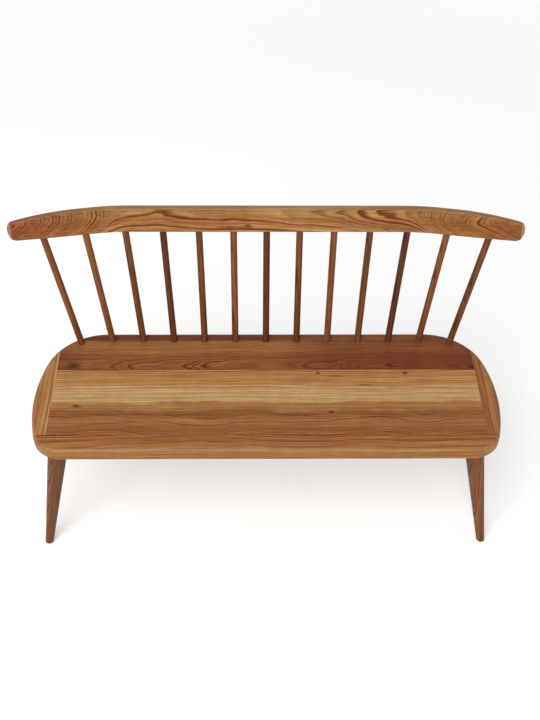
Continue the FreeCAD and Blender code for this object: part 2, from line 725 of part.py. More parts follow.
def build_bench():
    """Makes every piece of the bench."""
    drills = [build_spindle_drill(*place) for place in spindle_places()]
    drill_set = join("Drills", drills)
    keep(combine("Part::Cut", "crest_rail", build_crest_blank(), drill_set), "crest_rail")
    for place in spindle_places():
        build_spindle(*place)

    standing_room = new_box(
        "StandingRoom",
        "Sizes.seat_length + 4 * Sizes.leg_splay",
        "Sizes.seat_depth + 2 * Sizes.front_leg_rake + 2 * Sizes.rear_leg_rake",
        "Sizes.seat_underside",
        at("-Sizes.seat_length / 2 - 2 * Sizes.leg_splay",
           "Sizes.front_edge_y - 2 * Sizes.front_leg_rake", "0"))
    corners = [(end, side) for end in ("front", "rear") for side in (-1, 1)]
    for end, side in corners:
        build_leg(end, side, standing_room)
    mortises = [build_mortise(end, side) for end, side in corners]

    slots = []
    for hand, side in (("left", -1), ("right", 1)):
        keep(tongue_box(f"cap_tongue_{hand}", side, "0"), f"cap_tongue_{hand}")
        slots.append(tongue_box(f"Slot_{hand}", side, "Sizes.glue_gap"))

    cutters = join("SeatCutters", [drill_set, *mortises, *slots])
    part_into_boards(combine("Part::Cut", "DrilledSeat", build_seat_blank(), cutters))
    doc.recompute()


def check_bench():
    """Stops with a message if any feature failed or any piece is unsound."""
    faults = []
    for feature in doc.Objects:
        if "Invalid" in feature.State or "Error" in feature.State:
            faults.append(f"{feature.Label} failed")
    for piece in pieces:
        if piece.Shape.isNull() or not piece.Shape.isValid() or not piece.Shape.Solids:
            faults.append(f"{piece.Label} is not a sound solid")
    if faults:
        raise RuntimeError("; ".join(faults))


def write_pieces():
    """Writes each piece to its own file and prints its size."""
    os.makedirs("parts", exist_ok=True)
    for piece in pieces:
        piece.Shape.exportStep(f"parts/{piece.Label}.step")
        box = piece.Shape.optimalBoundingBox()
        print(f"{piece.Label}: {box.XLength:.1f} x {box.YLength:.1f} x {box.ZLength:.1f},"
              f" {len(piece.Shape.Solids)} solid, {piece.Shape.Volume / 1000:.1f} cm3")


fill_sheet(SIZES, 1)
fill_sheet(WORKED_OUT, len(SIZES) + 1)
add_spindle_lines()
build_bench()
check_bench()
write_pieces()
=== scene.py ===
"""Finishes, light and camera for a deacons bench in oiled solid wood.

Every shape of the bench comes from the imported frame. This script gives each board, spindle, leg and
the rail its own wood, with growth rings that run through the piece as they run through real timber,
and sets the bench on a plain white floor.
"""

import logging
import math
from dataclasses import dataclass, field, replace
from enum import Enum

import bpy
from mathutils import Color, Euler, Matrix, Vector

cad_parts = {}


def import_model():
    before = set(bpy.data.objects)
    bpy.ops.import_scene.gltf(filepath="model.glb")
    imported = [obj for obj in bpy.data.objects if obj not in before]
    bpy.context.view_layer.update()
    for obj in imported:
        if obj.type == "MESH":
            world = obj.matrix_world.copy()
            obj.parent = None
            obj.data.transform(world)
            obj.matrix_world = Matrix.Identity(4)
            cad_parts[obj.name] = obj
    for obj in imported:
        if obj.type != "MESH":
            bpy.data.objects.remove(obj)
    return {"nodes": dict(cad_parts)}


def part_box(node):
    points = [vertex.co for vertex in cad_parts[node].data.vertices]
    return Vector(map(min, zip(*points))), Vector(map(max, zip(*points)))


LOG = logging.getLogger("bench")

# Lengths are in metres, as in the frame.
MILLIMETRE = 0.001
SEAT_TOP = 0.440
OUT_OF_REACH = 1.0

RIGHTWARDS = Vector((1.0, 0.0, 0.0))
LEFTWARDS = Vector((-1.0, 0.0, 0.0))
BACKWARDS = Vector((0.0, 1.0, 0.0))

Socket = bpy.types.NodeSocket
Piece = bpy.types.Object
Colour = tuple[float, float, float, float]
WHITE: Colour = (1.0, 1.0, 1.0, 1.0)
BRIGHTEST_ON_SCREEN = 255
NODE_SPACING = 190


def linear(red: float, green: float, blue: float) -> Colour:
    """Turns a colour as a screen shows it into the linear colour that a shader takes.

    Args:
        red: Red, from 0 to 255.
        green: Green, from 0 to 255.
        blue: Blue, from 0 to 255.

    Returns:
        The linear colour, with an alpha of 1.
    """
    shown = Color([channel / BRIGHTEST_ON_SCREEN for channel in (red, green, blue)])
    return (*shown.from_srgb_to_scene_linear(), 1.0)


class Tone(Enum):
    """Tones of the oiled wood, as a screen shows them, and one greyish tone of painted sheen."""

    STRAW = (185, 149, 99)
    WHEAT = (182, 144, 90)
    HONEY = (174, 130, 76)
    AMBER = (166, 117, 64)
    TAN = (158, 110, 60)
    ORANGE = (154, 99, 50)
    RUSSET = (142, 87, 44)
    CHESTNUT = (134, 82, 42)
    UMBER = (118, 72, 36)
    MAROON = (100, 56, 30)
    PLUM = (82, 43, 24)
    # A greyish tone painted on the rail's top edge and top face: painted sheen of the top seen at a
    # grazing angle.
    PAINTED_TOP_GREY = (162, 128, 74)
    BARE = (190, 156, 112)

    @property
    def colour(self) -> Colour:
        """The tone as a linear colour."""
        return linear(*self.value)


class Wiring:
    """Adds and joins shader or geometry nodes in one node tree."""

    def __init__(self, tree: bpy.types.NodeTree) -> None:
        """Starts on a tree.

        Args:
            tree: The node tree to work in.
        """
        self.tree = tree

    def node(self, kind: str, **settings: object) -> bpy.types.Node:
        """Adds a node and sets it up.

        Args:
            kind: Blender's name for the node's type.
            **settings: The node's own properties.

        Returns:
            The new node.
        """
        made = self.tree.nodes.new(kind)
        made.location.x = NODE_SPACING * len(self.tree.nodes)
        for name, value in settings.items():
            setattr(made, name, value)
        return made

    def feed(self, socket: Socket, value: object) -> None:
        """Links a socket to another one, or sets it to a plain value.

        Args:
            socket: The input socket.
            value: An output socket, a number, a vector or a colour.
        """
        if isinstance(value, Socket):
            self.tree.links.new(value, socket)
        else:
            socket.default_value = value

    def math(self, operation: str, *values: object, clamp: bool = False) -> Socket:
        """Works out a number from up to three numbers.

        Args:
            operation: The Math node's operation.
            *values: Sockets or numbers, in the node's order.
            clamp: Whether the result is kept between 0 and 1.

        Returns:
            The output socket.
        """
        made = self.node("ShaderNodeMath", operation=operation, use_clamp=clamp)
        for socket, value in zip(made.inputs, values):
            self.feed(socket, value)
        return made.outputs[0]

    def swing(self, mask: Socket, reach: object, middle: object = 0.0) -> Socket:
        """Turns a mask into a number that swings round a middle.

        Args:
            mask: The mask, from 0 to 1.
            reach: How far apart the numbers for the mask's two ends are.
            middle: The number where the mask is one half.

        Returns:
            The output socket.
        """
        return self.math("MULTIPLY_ADD", self.math("SUBTRACT", mask, 0.5), reach, middle)

    def split(self, vector: Socket) -> list[Socket]:
        """Splits a vector socket into its three numbers."""
        made = self.node("ShaderNodeSeparateXYZ")
        self.feed(made.inputs[0], vector)
        return list(made.outputs)

    def join(self, along: object, across: object, depth: object) -> Socket:
        """Joins three numbers or sockets into a vector socket.

        Args:
            along: The first number.
            across: The second number.
            depth: The third number.

        Returns:
            The vector socket.
        """
        made = self.node("ShaderNodeCombineXYZ")
        for socket, value in zip(made.inputs, (along, across, depth)):
            self.feed(socket, value)
        return made.outputs[0]

    def ramp_between(self, value: object, low: object, high: object, start: object = 0.0,
                     end: object = 1.0, smooth: bool = True) -> Socket:
        """Takes a value from one range to another, held at the ends.

        Args:
            value: The value to take over.
            low: Where the first range starts.
            high: Where the first range ends.
            start: The result at the low end.
            end: The result at the high end.
            smooth: Whether the change eases in and out.

        Returns:
            The output socket.
        """
        kind = "SMOOTHSTEP" if smooth else "LINEAR"
        made = self.node("ShaderNodeMapRange", interpolation_type=kind, clamp=True)
        for socket, item in zip(made.inputs, (value, low, high, start, end)):
            self.feed(socket, item)
        return made.outputs[0]

    def noise(self, place: Socket, along_rate: object, across_rate: float, detail: float,
              shift: object = 0.0, roughness: float = 0.5) -> bpy.types.Node:
        """Adds a soft 3-D noise, stretched along the grain.

        Args:
            place: The coordinates along, across and into the grain.
            along_rate: How many features there are to each unit along the grain.
            across_rate: How many there are to each unit across and into it.
            detail: How many finer layers are added.
            shift: How many features the pattern is moved along.
            roughness: How strong the finer layers are.

        Returns:
            The noise node, whose outputs are a value and a colour.
        """
        stretched = self.node("ShaderNodeVectorMath", operation="MULTIPLY_ADD")
        rates = self.join(along_rate, across_rate, across_rate)
        for socket, value in zip(stretched.inputs, (place, rates, self.join(shift, 0.0, 0.0))):
            self.feed(socket, value)
        made = self.node("ShaderNodeTexNoise", noise_dimensions="3D", normalize=True)
        self.feed(made.inputs["Vector"], stretched.outputs[0])
        made.inputs["Scale"].default_value = 1.0
        made.inputs["Detail"].default_value = detail
        made.inputs["Roughness"].default_value = roughness
        return made

    def blend(self, factor: object, first: object, second: object, mode: str = "MIX") -> Socket:
        """Blends two colours.

        Args:
            factor: How much of the second colour is used.
            first: The first colour.
            second: The second colour.
            mode: The Mix node's blend type.

        Returns:
            The blended colour's socket.
        """
        made = self.node("ShaderNodeMix", data_type="RGBA", blend_type=mode)
        sockets = {socket.identifier: socket for socket in made.inputs}
        self.feed(sockets["Factor_Float"], factor)
        self.feed(sockets["A_Color"], first)
        self.feed(sockets["B_Color"], second)
        return next(socket for socket in made.outputs if socket.identifier == "Result_Color")

    def tint(self, factor: object, ground: object, tone: object) -> Socket:
        """Multiplies a colour by a tone, as far as the factor says."""
        return self.blend(factor, ground, tone, "MULTIPLY")

    def ramp(self, factor: object, stops: list[tuple[float, Colour]]) -> Socket:
        """Adds a colour ramp.

        Args:
            factor: The place on the ramp, from 0 to 1.
            stops: Each stop's place and colour, from low to high.

        Returns:
            The ramp's colour socket.
        """
        made = self.node("ShaderNodeValToRGB")
        self.feed(made.inputs[0], factor)
        elements = made.color_ramp.elements
        while len(elements) < len(stops):
            elements.new(0.5)
        while len(elements) > len(stops):
            elements.remove(elements[-1])
        for element, (place, colour) in zip(elements, sorted(stops)):
            element.position = place
            element.color = colour
        return made.outputs["Color"]


class WoodEffect:
    """A shader effect that many of the woods share, kept as one node group."""

    title: str = ""
    takes: dict[str, object] = {}
    gives: tuple[str, ...] = ()

    def wire(self, wiring: Wiring, given: dict[str, Socket]) -> dict[str, object]:
        """Builds the inside of the group.

        Args:
            wiring: The wiring of the group's own tree.
            given: The group's inputs by name.

        Returns:
            The socket for each of the group's outputs.
        """
        raise NotImplementedError

    def group(self) -> bpy.types.NodeTree:
        """Finds the group, or builds it the first time.

        Returns:
            The group's node tree.
        """
        if self.title in bpy.data.node_groups:
            return bpy.data.node_groups[self.title]
        tree = bpy.data.node_groups.new(self.title, "ShaderNodeTree")
        for name, value in self.takes.items():
            kind = "NodeSocketFloat"
            if isinstance(value, tuple):
                kind = "NodeSocketColor" if len(value) == 4 else "NodeSocketVector"
            socket = tree.interface.new_socket(name=name, in_out="INPUT", socket_type=kind)
            socket.default_value = value
        for name in self.gives:
            kind = "NodeSocketColor" if name == "Colour" else "NodeSocketFloat"
            tree.interface.new_socket(name=name, in_out="OUTPUT", socket_type=kind)
        wiring = Wiring(tree)
        entry = wiring.node("NodeGroupInput")
        made = self.wire(wiring, {name: entry.outputs[name] for name in self.takes})
        leave = wiring.node("NodeGroupOutput")
        for name, socket in made.items():
            wiring.feed(leave.inputs[name], socket)
        return tree

    def place(self, wiring: Wiring, **values: object) -> dict[str, Socket]:
        """Places the group in a material.

        Args:
            wiring: The wiring of the material.
            **values: A value or socket for each input, its name in lower case with underscores.

        Returns:
            The group's outputs by name.
        """
        made = wiring.node("ShaderNodeGroup", node_tree=self.group(), label=self.title)
        for name, value in values.items():
            wiring.feed(made.inputs[name.replace("_", " ").title()], value)
        return {name: made.outputs[name] for name in self.gives}


class GrowthRings(WoodEffect):
    """Growth rings round a pith that wanders as it runs along the grain."""

    title = "growth rings"
    takes = {
        "Grain": (0.0, 0.0, 0.0), "Ring Width": 0.004, "Pith Side": 0.0, "Pith Depth": -0.08,
        "Drift": 0.0, "Rise": 0.0, "Bow": 0.0, "Wander": 0.01, "Wander Length": 0.15,
        "Ripple": 0.001, "Push": 0.0, "Seed": 0.0,
    }
    gives = ("Line", "Ring Tone")

    # How far one step of the seed moves the noises.
    seed_step = 7.31
    # The rates are features to a metre, or to a ring for the uneven widths.
    wander_rate = 6.0
    wander_detail = 1.5
    wander_reach = 4.0
    ripple_rates = (16.0, 60.0)
    ripple_detail = 2.0
    ripple_reach = 2.0
    uneven_rate = 0.22
    uneven_detail = 1.0
    uneven_reach = 3.2
    # Where in a ring, from 0 to 1, its late wood darkens and where it ends.
    darkening = (0.30, 0.88)
    ending = (0.90, 1.0)
    faintest_line = 0.15
    line_contrast = 1.8

    def wire(self, wiring: Wiring, given: dict[str, Socket]) -> dict[str, object]:
        """Measures the distance from the pith and turns it into rings.

        Args:
            wiring: The wiring of the group's own tree.
            given: The group's inputs by name.

        Returns:
            Line, the dark late wood of each ring, and Ring Tone, a shade for each ring.
        """
        calc = wiring.math
        shift = calc("MULTIPLY", given["Seed"], self.seed_step)
        radius = self.wire_radius(wiring, given, shift)
        waves = wiring.noise(given["Grain"], *self.ripple_rates, self.ripple_detail, shift)
        reach = calc("MULTIPLY", given["Ripple"], self.ripple_reach)
        rippled = calc("ADD", wiring.swing(waves.outputs[0], reach, radius), given["Push"])
        count = calc("DIVIDE", rippled, given["Ring Width"])
        uneven = wiring.noise(wiring.join(count, 0.0, 0.0), self.uneven_rate, self.uneven_rate,
                              self.uneven_detail, shift)
        ring = wiring.swing(uneven.outputs[0], self.uneven_reach, count)
        within = calc("FRACT", ring)
        number = calc("SUBTRACT", ring, within)
        tones = []
        for step in (0.0, 1.0):
            tone = wiring.node("ShaderNodeTexWhiteNoise", noise_dimensions="1D")
            wiring.feed(tone.inputs["W"], calc("ADD", calc("ADD", number, step), shift))
            tones.append(tone.outputs["Value"])
        this_ring, next_ring = tones
        shape = calc("MULTIPLY", wiring.ramp_between(within, *self.darkening),
                     wiring.ramp_between(within, *self.ending, 1.0, 0.0))
        strength = calc("MULTIPLY_ADD", calc("POWER", this_ring, self.line_contrast),
                        1 - self.faintest_line, self.faintest_line)
        tone = calc("ADD", calc("MULTIPLY", this_ring, calc("SUBTRACT", 1.0, within)),
                    calc("MULTIPLY", next_ring, within))
        return {"Line": calc("MULTIPLY", shape, strength), "Ring Tone": tone}

    def wire_radius(self, wiring: Wiring, given: dict[str, Socket], shift: Socket) -> Socket:
        """Measures how far a point is from the pith, which drifts, rises, bends and wanders.

        Args:
            wiring: The wiring of the group's own tree.
            given: The group's inputs by name.
            shift: How far the seed moves the noise.

        Returns:
            The socket of the distance.
        """
        calc = wiring.math
        along, across, depth = wiring.split(given["Grain"])
        wander_pace = calc("DIVIDE", 1.0, given["Wander Length"])
        slow = wiring.noise(given["Grain"], wander_pace, self.wander_rate, self.wander_detail, shift)
        strays = wiring.node("ShaderNodeSeparateColor")
        wiring.feed(strays.inputs[0], slow.outputs["Color"])
        reach = calc("MULTIPLY", given["Wander"], self.wander_reach)
        slope = calc("MULTIPLY_ADD", along, given["Bow"], given["Rise"])
        squares = []
        for part, pith, run, stray in (
                (across, given["Pith Side"], given["Drift"], strays.outputs[0]),
                (depth, given["Pith Depth"], slope, strays.outputs[1])):
            moved = calc("MULTIPLY_ADD", along, run, wiring.swing(stray, reach))
            away = calc("SUBTRACT", calc("SUBTRACT", part, pith), moved)
            squares.append(calc("MULTIPLY", away, away))
        return calc("SQRT", calc("ADD", *squares))


class WoodKnot(WoodEffect):
    """A knot or an eye in the figure, which pushes the rings aside and darkens its place."""

    title = "wood knot"
    takes = {
        "Grain": (0.0, 0.0, 0.0), "Along": 0.0, "Across": 0.0, "Length": 0.02, "Breadth": 0.006,
        "Push Aside": 0.004, "Darkness": 0.8,
    }
    gives = ("Mark", "Push")

    # How fast both fade away from the middle of the knot.
    mark_fade = -2.0
    push_fade = -0.35

    def wire(self, wiring: Wiring, given: dict[str, Socket]) -> dict[str, object]:
        """Measures how far a point is from the knot, in knots.

        Args:
            wiring: The wiring of the group's own tree.
            given: The group's inputs by name.

        Returns:
            Mark, the darkened place, and Push, how far the rings are pushed aside.
        """
        calc = wiring.math
        squares = []
        for part, middle, size in zip(wiring.split(given["Grain"]), (given["Along"], given["Across"]),
                                      (given["Length"], given["Breadth"])):
            away = calc("DIVIDE", calc("SUBTRACT", part, middle), size)
            squares.append(calc("MULTIPLY", away, away))
        square = calc("ADD", *squares)
        mark, push = (calc("POWER", math.e, calc("MULTIPLY", square, fade))
                      for fade in (self.mark_fade, self.push_fade))
        return {
            "Mark": calc("MULTIPLY", mark, given["Darkness"]),
            "Push": calc("MULTIPLY", push, given["Push Aside"]),
        }


@dataclass(frozen=True)
class Texture:
    """A noise stretched along the grain, and the part of it that is kept.

    Args:
        length: How long its features are along the grain, in metres.
        breadth: How broad they are across it.
        detail: How many finer layers it has.
        low: The noise that becomes 0.
        high: The noise that becomes 1.
    """

    length: float
    breadth: float
    detail: float
    low: float
    high: float


class WoodFibre(WoodEffect):
    """The fine texture along the grain: fibres, streaks, open pores and the shimmer across them."""

    title = "wood fibre"
    takes = {"Grain": (0.0, 0.0, 0.0), "Seed": 0.0}
    gives = ("Fibre", "Streak", "Pore", "Curl")

    seed_step = 3.17
    roughness = 0.6
    textures = {
        "Fibre": Texture(0.060, 0.0013, 2.0, 0.25, 0.75),
        "Streak": Texture(0.170, 0.0042, 3.0, 0.28, 0.72),
        "Pore": Texture(0.007, 0.0005, 1.0, 0.66, 0.78),
        "Curl": Texture(0.030, 0.0450, 2.0, 0.3, 0.7),
    }

    def wire(self, wiring: Wiring, given: dict[str, Socket]) -> dict[str, object]:
        """Stretches noises along the grain to the sizes of fibres, streaks, pores and curl.

        Args:
            wiring: The wiring of the group's own tree.
            given: The group's inputs by name.

        Returns:
            Fibre, Streak, Pore and Curl, each from 0 to 1.
        """
        shift = wiring.math("MULTIPLY", given["Seed"], self.seed_step)
        made = {}
        for name, texture in self.textures.items():
            noise = wiring.noise(given["Grain"], 1 / texture.length, 1 / texture.breadth,
                                 texture.detail, shift, self.roughness)
            made[name] = wiring.ramp_between(noise.outputs[0], texture.low, texture.high)
        return made


class ArrisWearAndEndLight(WoodEffect):
    """The rubbed, slightly paler wood on the eased arrises, and a paler painted light on the end faces.
    """

    title = "worn arris"
    takes = {"Facing": (0.0, 0.0, 1.0), "Grain": (0.0, 0.0, 0.0)}
    gives = ("Wear", "End")

    patch_rate = 22.0
    patch_detail = 3.0
    # The noise at which a patch starts and is full, and how much is rubbed at both.
    patches = (0.3, 0.62, 0.35, 1.0)
    # The product of the facings to two sides at which an arris starts and is full.
    arris = (0.24, 0.48)
    # The facing along the grain at which the painted light on the end faces starts and is full.
    end_grain = (0.5, 0.8)

    def wire(self, wiring: Wiring, given: dict[str, Socket]) -> dict[str, object]:
        """Finds where the surface faces halfway between two sides, and where it faces along the grain.

        Args:
            wiring: The wiring of the group's own tree.
            given: The group's inputs by name.

        Returns:
            Wear, which is 1 on a rubbed arris, and End, which is 1 in patches on the end faces, where
            light is painted.
        """
        calc = wiring.math
        sides = [calc("ABSOLUTE", part) for part in wiring.split(given["Facing"])]
        turned = calc("MULTIPLY", sides[0], sides[1])
        for first, second in ((1, 2), (2, 0)):
            turned = calc("MAXIMUM", turned, calc("MULTIPLY", sides[first], sides[second]))
        noise = wiring.noise(given["Grain"], self.patch_rate, self.patch_rate, self.patch_detail)
        rubbed = wiring.ramp_between(noise.outputs[0], *self.patches)
        return {
            "Wear": calc("MULTIPLY", wiring.ramp_between(turned, *self.arris), rubbed),
            "End": calc("MULTIPLY", wiring.ramp_between(sides[0], *self.end_grain), rubbed),
        }


class GlueJoint(WoodEffect):
    """The hairline shadow where a board meets its neighbours."""

    title = "glue joint"
    takes = {"Across": 0.0, "Low": 0.0, "High": 1.0, "Breadth": 0.8 * MILLIMETRE}
    gives = ("Joint",)

    darkest = 0.7

    def wire(self, wiring: Wiring, given: dict[str, Socket]) -> dict[str, object]:
        """Measures how near a point is to the nearer long edge.

        Args:
            wiring: The wiring of the group's own tree.
            given: The group's inputs by name.

        Returns:
            Joint, which is 0 on the board and darkest at its edge.
        """
        calc = wiring.math
        nearer = calc("MINIMUM", calc("SUBTRACT", given["Across"], given["Low"]),
                      calc("SUBTRACT", given["High"], given["Across"]))
        distance = calc("ABSOLUTE", nearer)
        return {"Joint": wiring.ramp_between(distance, 0.0, given["Breadth"], self.darkest, 0.0)}


class OiledWood(WoodEffect):
    """Puts rings, fibre, pores, knots, wear and the painted light on the end faces together as oiled
    wood shows them.
    """

    title = "oiled wood"
    takes = {
        "Ground": (0.3, 0.15, 0.06, 1.0), "Line": 0.0, "Ring Tone": 0.5, "Fibre": 0.5,
        "Streak": 0.5, "Pore": 0.0, "Curl": 0.5, "Knot": 0.0, "Wear": 0.0, "End": 0.0,
        "Joint": 0.0, "Line Depth": 0.5, "Tone Depth": 0.2, "Fibre Depth": 0.1, "Polish": 0.45,
    }
    gives = ("Colour", "Roughness", "Height")

    # The first two tint the wood below them, and the last two lie over it: the rubbed arrises, and a
    # pale painted light on the end faces.
    late_wood = linear(202, 166, 138)
    knot_wood = linear(100, 60, 40)
    rubbed_wood = linear(214, 176, 132)
    painted_end_light = linear(226, 186, 144)

    streak_to_fibre = 2.6
    curl_to_tone = 0.45
    pore_shade = -0.28
    # Shade takes more from green than from red, and more again from blue.
    green_power = 1.15
    blue_power = 1.3
    second_tint = 0.9
    end_share = 0.7
    wear_share = 0.10

    pore_roughness = 0.16
    streak_roughness = 0.12
    wear_roughness = -0.07
    heights = {"Fibre": 0.22, "Pore": -0.8, "Line": 0.3}

    def wire(self, wiring: Wiring, given: dict[str, Socket]) -> dict[str, object]:
        """Deepens the ground colour by each mark in turn.

        Args:
            wiring: The wiring of the group's own tree.
            given: The group's inputs by name.

        Returns:
            Colour, Roughness and Height over the surface.
        """
        calc = wiring.math
        colour = self.wire_light(wiring, given)
        lines = calc("MULTIPLY", given["Line"], given["Line Depth"], clamp=True)
        for factor in (lines, calc("MULTIPLY", lines, self.second_tint, clamp=True)):
            colour = wiring.tint(factor, colour, self.late_wood)
        colour = wiring.tint(given["Knot"], colour, self.knot_wood)
        # Painted light: the end faces are blended towards a pale colour.
        colour = wiring.blend(calc("MULTIPLY", given["End"], self.end_share), colour, self.painted_end_light)
        colour = wiring.tint(given["Joint"], colour, self.knot_wood)
        colour = wiring.blend(calc("MULTIPLY", given["Wear"], self.wear_share), colour, self.rubbed_wood)
        roughness = calc("MULTIPLY_ADD", given["Pore"], self.pore_roughness, given["Polish"])
        roughness = wiring.swing(given["Streak"], self.streak_roughness, roughness)
        roughness = calc("MULTIPLY_ADD", given["Wear"], self.wear_roughness, roughness)
        height: object = 0.0
        for name, share in self.heights.items():
            height = calc("MULTIPLY_ADD", given[name], share, height)
        return {"Colour": colour, "Roughness": roughness, "Height": height}

    def wire_light(self, wiring: Wiring, given: dict[str, Socket]) -> Socket:
        """Shades the ground colour by the fibres, streaks, rings, curl and pores.

        Args:
            wiring: The wiring of the group's own tree.
            given: The group's inputs by name.

        Returns:
            The socket of the shaded colour.
        """
        calc = wiring.math
        light = calc("MULTIPLY_ADD", given["Pore"], self.pore_shade, 1.0)
        for name, depth in (
                ("Fibre", given["Fibre Depth"]),
                ("Streak", calc("MULTIPLY", given["Fibre Depth"], self.streak_to_fibre)),
                ("Ring Tone", given["Tone Depth"]),
                ("Curl", calc("MULTIPLY", given["Tone Depth"], self.curl_to_tone))):
            light = calc("MULTIPLY", light, wiring.swing(given[name], depth, 1.0))
        shade = wiring.join(
            light, calc("POWER", light, self.green_power), calc("POWER", light, self.blue_power))
        return wiring.tint(1.0, given["Ground"], shade)


@dataclass(frozen=True)
class GrainLie:
    """How a piece was cut from its timber.

    Args:
        origin: Where its pattern starts.
        along: The way that its grain runs.
        across: The way that its breadth runs.
        breadth: Where its low and high edges are across the grain, from the origin.
        length: Where its ends are along the grain, from the origin.
    """

    origin: Vector
    along: Vector
    across: Vector
    breadth: tuple[float, float]
    length: tuple[float, float]

    def turn(self) -> Euler:
        """The rotation whose axes are the grain's length, its breadth and its depth."""
        length = self.along.normalized()
        depth = length.cross(self.across).normalized()
        breadth = depth.cross(length)
        return Matrix((length, breadth, depth)).transposed().to_euler()


def lie_turned(node: Piece, radius: float) -> GrainLie:
    """Lays the grain of a turned piece along its own axis.

    Args:
        node: The piece's object.
        radius: Its largest radius.

    Returns:
        The lie of its grain.
    """
    foot, top = ends_of(node)
    axis = top - foot
    return GrainLie(foot, axis, RIGHTWARDS, (-radius, radius), (0.0, axis.length))


def lie_flat(low: Vector, high: Vector, face: float, crosswise: bool = False) -> GrainLie:
    """Lays the grain of a board along the bench, or from front to back.

    Args:
        low: The lowest corner of the board's box.
        high: Its highest corner.
        face: The height of the face that the pattern starts from.
        crosswise: Whether the grain runs from front to back.

    Returns:
        The lie of its grain.
    """
    if crosswise:
        start, along, across = Vector((high.x, 0.0, face)), BACKWARDS, LEFTWARDS
        return GrainLie(start, along, across, (0.0, high.x - low.x), (low.y, high.y))
    start, along, across = Vector((0.0, low.y, face)), RIGHTWARDS, BACKWARDS
    return GrainLie(start, along, across, (0.0, high.y - low.y), (low.x, high.x))


def ends_of(node: Piece) -> tuple[Vector, Vector]:
    """Finds the axis of a piece that stands up.

    Args:
        node: The piece's object.

    Returns:
        The middles of its lowest and its highest end.
    """
    corners_up = sorted((vertex.co for vertex in node.data.vertices), key=lambda corner: corner.z)
    reach = 2 * MILLIMETRE
    low = [corner for corner in corners_up if corner.z < corners_up[0].z + reach]
    high = [corner for corner in corners_up if corner.z > corners_up[-1].z - reach]
    return sum(low, Vector()) / len(low), sum(high, Vector()) / len(high)


def fresh_material(name: str) -> tuple[bpy.types.Material, Wiring]:
    """Makes a material without any nodes.

    Args:
        name: The material's name.

    Returns:
        The material and the wiring of its node tree.
    """
    material = bpy.data.materials.new(name)
    material.use_nodes = True
    material.node_tree.nodes.clear()
    return material, Wiring(material.node_tree)


@dataclass(frozen=True)
class Rings:
    """The rings that a piece was cut through, in metres.

    Depth runs up from a board's face, forwards from the rail's and backwards from a turned axis.

    Args:
        width: How far apart the rings are.
        side: How far across the piece the pith lies.
        depth: How far the pith lies in depth from where the pattern starts.
        wander: How far the pith strays from a straight line.
        wander_length: How far along the grain one stray takes.
        ripple: How uneven each ring is.
        drift: How far the pith moves across for each metre along.
        rise: How far the pith moves in depth for each metre along.
        bow: How much the rise grows for each metre along.
    """

    width: float
    side: float
    depth: float
    wander: float = 0.006
    wander_length: float = 0.16
    ripple: float = 0.0012
    drift: float = 0.0
    rise: float = 0.0
    bow: float = 0.0


@dataclass(frozen=True)
class Knot:
    """A knot or a dark eye: its place and size along and across the grain, in metres."""

    along: float
    across: float
    length: float = 0.016
    breadth: float = 0.006
    push: float = 0.004
    darkness: float = 0.85


